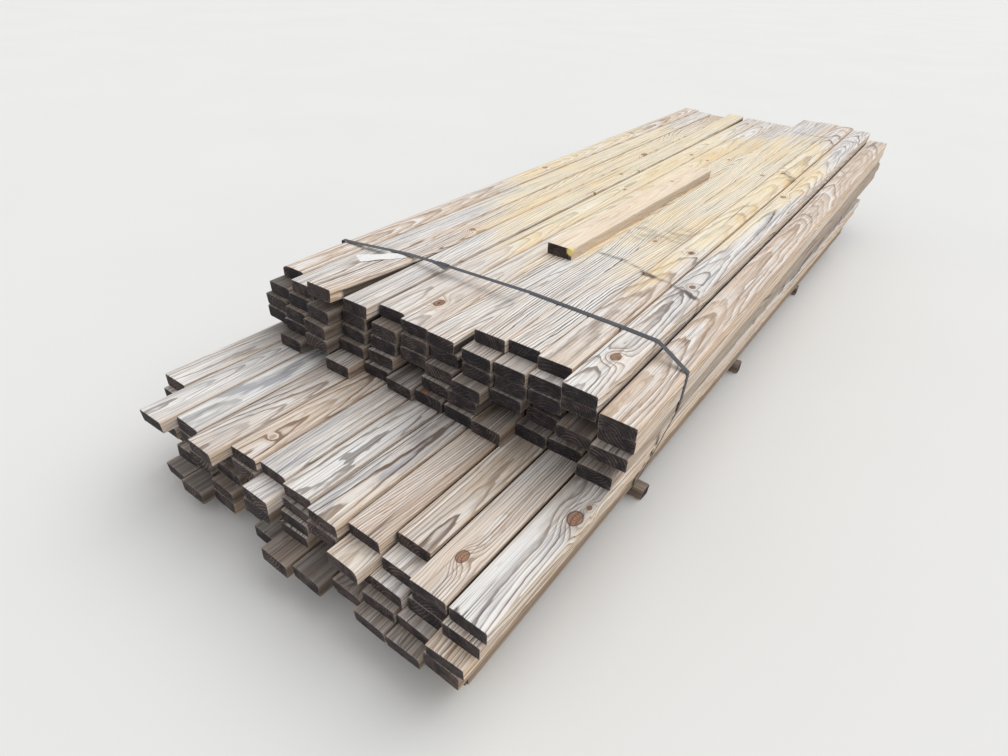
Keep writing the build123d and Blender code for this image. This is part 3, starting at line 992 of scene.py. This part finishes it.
# %% The strap's line
ASKEW_X = [0.0, 0.067, 0.216, 0.286, 0.415, 0.76, 1.0, 1.11, 1.185, 1.25]
ASKEW = [-0.004, -0.004, 0.010, 0.021, 0.022, 0.020, 0.018, 0.014, -0.004, -0.004]
TOP_LEVEL, TOP_FADE = 0.44, 0.01
across_and_up = np.c_[strap_points[:, [0, 2]], np.ones(len(strap_points))]
plane = np.linalg.lstsq(across_and_up, strap_points[:, 1], rcond=None)[0]


def strap_line(path):
    """Points of the strap's middle: y = ax + bz + c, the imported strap's plane, and on top of the
    stack as much further along the boards as was measured."""
    x, z = path.T
    on_top = np.clip((z - TOP_LEVEL) / TOP_FADE, 0, 1)
    askew = np.interp(x - CORNER[0], ASKEW_X, ASKEW) * on_top
    return np.stack([x, plane[0] * x + plane[1] * z + plane[2] + askew, z], -1)


# %% A flat band along a line
def band(line, closed, width, thick):
    """A flat band along a line across the stack: each section is eight points of a flat rounded
    shape, some way along the boards and some way out from the line."""
    ahead_of = np.gradient(line, axis=0)
    if closed:
        ahead_of = np.roll(line, -1, axis=0) - np.roll(line, 1, axis=0)
    ahead_of /= np.linalg.norm(ahead_of, axis=1)[:, None]
    across = np.tile([0.0, 1.0, 0.0], (len(line), 1))
    out = np.cross(ahead_of, across)
    out /= np.linalg.norm(out, axis=1)[:, None]
    across = np.cross(out, ahead_of)
    w = np.array([-1, -0.92, 0, 0.92, 1, 0.92, 0, -0.92]) * width / 2
    h = np.array([0, -1, -1, -1, 0, 1, 1, 1]) * thick / 2
    return line[:, None] + across[:, None] * w[:, None] + out[:, None] * h[:, None], len(w)


def volume(points, quads, triangles):
    """Signed volume: the triple product of each triangle's corners, over six, all added up."""
    every = np.concatenate([quads[:, [0, 1, 2]], quads[:, [0, 2, 3]], triangles])
    a, b, c = points[every].transpose(1, 0, 2)
    return np.einsum("ij,ij->i", a, np.cross(b, c)).sum() / 6


NO_TRIANGLES = np.zeros((0, 3), int)


def outward_mesh(name, points, quads, triangles=NO_TRIANGLES):
    """A closed mesh, with its faces turned round if they enclose a negative volume."""
    order = -1 if volume(points, quads, triangles) < 0 else 1
    return mesh_from(name, points, quads[:, ::order], triangles[:, ::order])


# %% Strap finish
def painted_steel(name, base, worn):
    """Dull dark paint with paler worn scuffs that run along it, and grime."""
    r = Recipe(name)
    where = r.here()
    scuff = r.noise(where, (18.0, 300.0, 60.0), 3.0, 0.6)
    grime = r.noise(where, (25.0, 25.0, 25.0), 3.0)
    colour = r.mix(r.step(scuff, 0.45, 0.75, 0.0, 0.6), base, worn)
    colour = r.mix(r.step(grime, 0.55, 0.8, 0.0, 0.45), colour, GRIME)
    return r.finish(colour, r.step(scuff, 0.3, 0.8, 0.42, 0.7), scuff, 0.0002, 0.4)


strap_paint = painted_steel("strap_paint", tint(64, 68, 75), tint(118, 121, 126))
seal_paint = painted_steel("seal_paint", tint(52, 54, 60), tint(104, 106, 110))

# %% Build the strap
path = divided(outline(strap_points[:, [0, 2]]), 0.03)
rows, around = band(strap_line(path), True, STRAP_WIDTH, STRAP_THICK)
quads = band_faces(len(path) + 1, around) % (len(path) * around)
strap_mesh = outward_mesh("strap", rows.reshape(-1, 3), quads)
add_piece("strap_band", strap_mesh, strap_paint, ["strap"])

# %% [markdown]
# The end of the strap runs on past the seal, splays towards the near side and curls up.

# %% Tail and seal
TAIL_X, SEAL_X = np.linspace(0.372, 0.466, 22), np.linspace(0.3975, 0.4425, 28)
TAIL_SPLAY, TAIL_LIFT, TAIL_CURL, CURL_FROM = 0.026, 0.0014, 0.006, 0.75
SEAL_WIDTH, SEAL_THICK, CRIMPS, CRIMP_DEPTH = 0.0195, 0.0042, 5, 0.16


def on_strap(x):
    """Points of the strap's middle over places measured across the stack."""
    top = path[path[:, 1] > TOP_LEVEL]
    order = np.argsort(top[:, 0])
    over = CORNER[0] + x
    return strap_line(np.stack([over, np.interp(over, top[order, 0], top[order, 1])], -1))


tail = on_strap(TAIL_X)
along_tail = np.linspace(0, 1, len(TAIL_X))
tail[:, 1] -= TAIL_SPLAY * along_tail**1.5
tail[:, 2] += TAIL_LIFT + TAIL_CURL * (np.clip(along_tail - CURL_FROM, 0, 1) / (1 - CURL_FROM)) ** 2
tail_mesh = outward_mesh("tail", *capped(*band(tail, False, STRAP_WIDTH, STRAP_THICK)))
add_piece("strap_tail", tail_mesh, strap_paint, [])

seal_line = on_strap(SEAL_X)
along_seal = np.linspace(0, 1, len(SEAL_X))
pinch = 1 - CRIMP_DEPTH * np.clip(np.sin(along_seal * CRIMPS * math.pi), 0, 1) ** 2
rows, around = band(seal_line, False, SEAL_WIDTH, SEAL_THICK)
rows = seal_line[:, None] + (rows - seal_line[:, None]) * pinch[:, None, None]
seal_mesh = outward_mesh("seal", *capped(rows, around))
add_piece("strap_seal_sleeve", seal_mesh, seal_paint, ["strap_seal"])

# %% [markdown]
# ## Tag
# The tag is stiff white paper. It lies on the bowed board with one end under the strap,
# and its free end reaches out over the next board and ripples.

# %% Build the tag
TAG_ENDS = np.array([[[0.262, 0.726], [0.298, 0.713]], [[0.183, 0.617], [0.228, 0.594]]])
TAG_ROWS, TAG_COLUMNS = 40, 14
TAG_THICK, TAG_LIFT, TAG_RISE = 0.0006, 0.0012, 0.0016
RIPPLE, CURL = 0.0016, 0.0012


def tag_surface():
    """The tag's upper side: its corners joined evenly, at the bowed board's height, with ripples
    that grow towards the free end."""
    u = np.linspace(0, 1, TAG_ROWS)[:, None, None]
    v = np.linspace(0, 1, TAG_COLUMNS)[None, :, None]
    held, free = (end[0] * (1 - v) + end[1] * v for end in TAG_ENDS)
    flat = held * (1 - u) + free * u
    bowed = places["upper_5"][2]
    world = flat + CORNER[:2]
    top = np.interp(world[..., 1], bowed.along, bowed.under) + bowed.thick
    u, v = u[..., 0], v[..., 0]
    wave = RIPPLE * u * np.sin(9 * u + 2 * v) + CURL * u**2 * np.sin(14 * u) * v
    return np.concatenate([world, (top + TAG_LIFT + TAG_RISE * u + wave)[..., None]], -1)


def thin_sheet(name, upper, thick):
    """A closed thin sheet: the upper side, a copy lower down, and quads that join their rims."""
    rows, columns = upper.shape[:2]
    points = np.concatenate([upper.reshape(-1, 3), upper.reshape(-1, 3) - [0, 0, thick]])
    grid = np.arange(rows * columns).reshape(rows, columns)
    a, b, c, d = grid[:-1, :-1], grid[:-1, 1:], grid[1:, 1:], grid[1:, :-1]
    top = np.stack([a, b, c, d], -1).reshape(-1, 4)
    rim = np.concatenate([grid[0], grid[1:, -1], grid[-1, -2::-1], grid[-2:0:-1, 0]])
    after, lower = np.roll(rim, -1), rows * columns
    side = np.stack([rim, rim + lower, after + lower, after], -1)
    quads = np.concatenate([top, top[:, ::-1] + lower, side])
    return outward_mesh(name, points, quads)


def paper(name):
    """White weatherproof paper, creased and a little dirty."""
    r = Recipe(name)
    where = r.here()
    crease = r.noise(where, (60.0, 60.0, 60.0), 3.0)
    dirt = r.noise(where, (160.0, 160.0, 160.0), 3.0)
    colour = r.mix(r.step(dirt, 0.5, 0.85, 0.0, 0.4), tint(240, 240, 240), tint(196, 190, 180))
    colour = r.mix(r.step(crease, 0.62, 0.7, 0.0, 0.25), colour, tint(180, 178, 176))
    return r.finish(colour, r.step(dirt, 0.3, 0.8, 0.55, 0.75), crease, 0.0005, 0.5)


tag_mesh = thin_sheet("tag", tag_surface(), TAG_THICK)
add_piece("tag_paper", tag_mesh, paper("tag_paper"), ["tag"])

# %% [markdown]
# ## Floor and light
# A wide pale floor keeps the shadow. A soft lamp from behind and above leaves the near
# ends in shade, and an even sky fills them. The camera sees the sky as plain white.


# %% Floor
def pale_floor():
    """A pale floor with the faintest unevenness of tone."""
    r = Recipe("pale_floor")
    where = r.here()
    tone = r.noise(where, (0.8, 0.8, 0.8), 2.0)
    return r.finish(r.mix(tone, tint(232, 232, 230), tint(238, 238, 237)), 0.9, tone, 0.0005, 0.1)


HALF = 80.0
floor_points = HALF * np.array([[-1, -1, 0], [1, -1, 0], [1, 1, 0], [-1, 1, 0]])
floor_mesh = mesh_from("floor", floor_points, np.array([[0, 1, 2, 3]]), NO_TRIANGLES)
floor_mesh.materials.append(pale_floor())
floor = added("floor", floor_mesh)

# %% Sky and lamp
SKY_LIGHT, SKY_SEEN, LAMP_LIGHT, LAMP_SPREAD = 0.62, 1.0, 1.45, math.radians(60)
TO_LAMP = np.array([0.30, 0.48, 0.82])

sky = Recipe("sky", "worlds")
bpy.context.scene.world = sky.made
rays = [sky.node("ShaderNodeLightPath", (), f"Is {kind} Ray") for kind in ("Camera", "Glossy")]
seen = sky.math("MAXIMUM", *rays)
strength = sky.node("ShaderNodeMapRange", {0: seen, 3: SKY_LIGHT, 4: SKY_SEEN})
background = sky.tree.nodes["Background"].inputs
sky.put(background["Color"], (1, 1, 1, 1))
sky.put(background["Strength"], strength)

lamp = added("lamp", bpy.data.lights.new("lamp", "SUN"))
lamp.data.energy, lamp.data.angle = LAMP_LIGHT, LAMP_SPREAD
lamp.rotation_mode = "QUATERNION"
lamp.rotation_quaternion = Vector(-TO_LAMP).to_track_quat("-Z", "Y")
bpy.context.scene.view_settings.view_transform = "Standard"
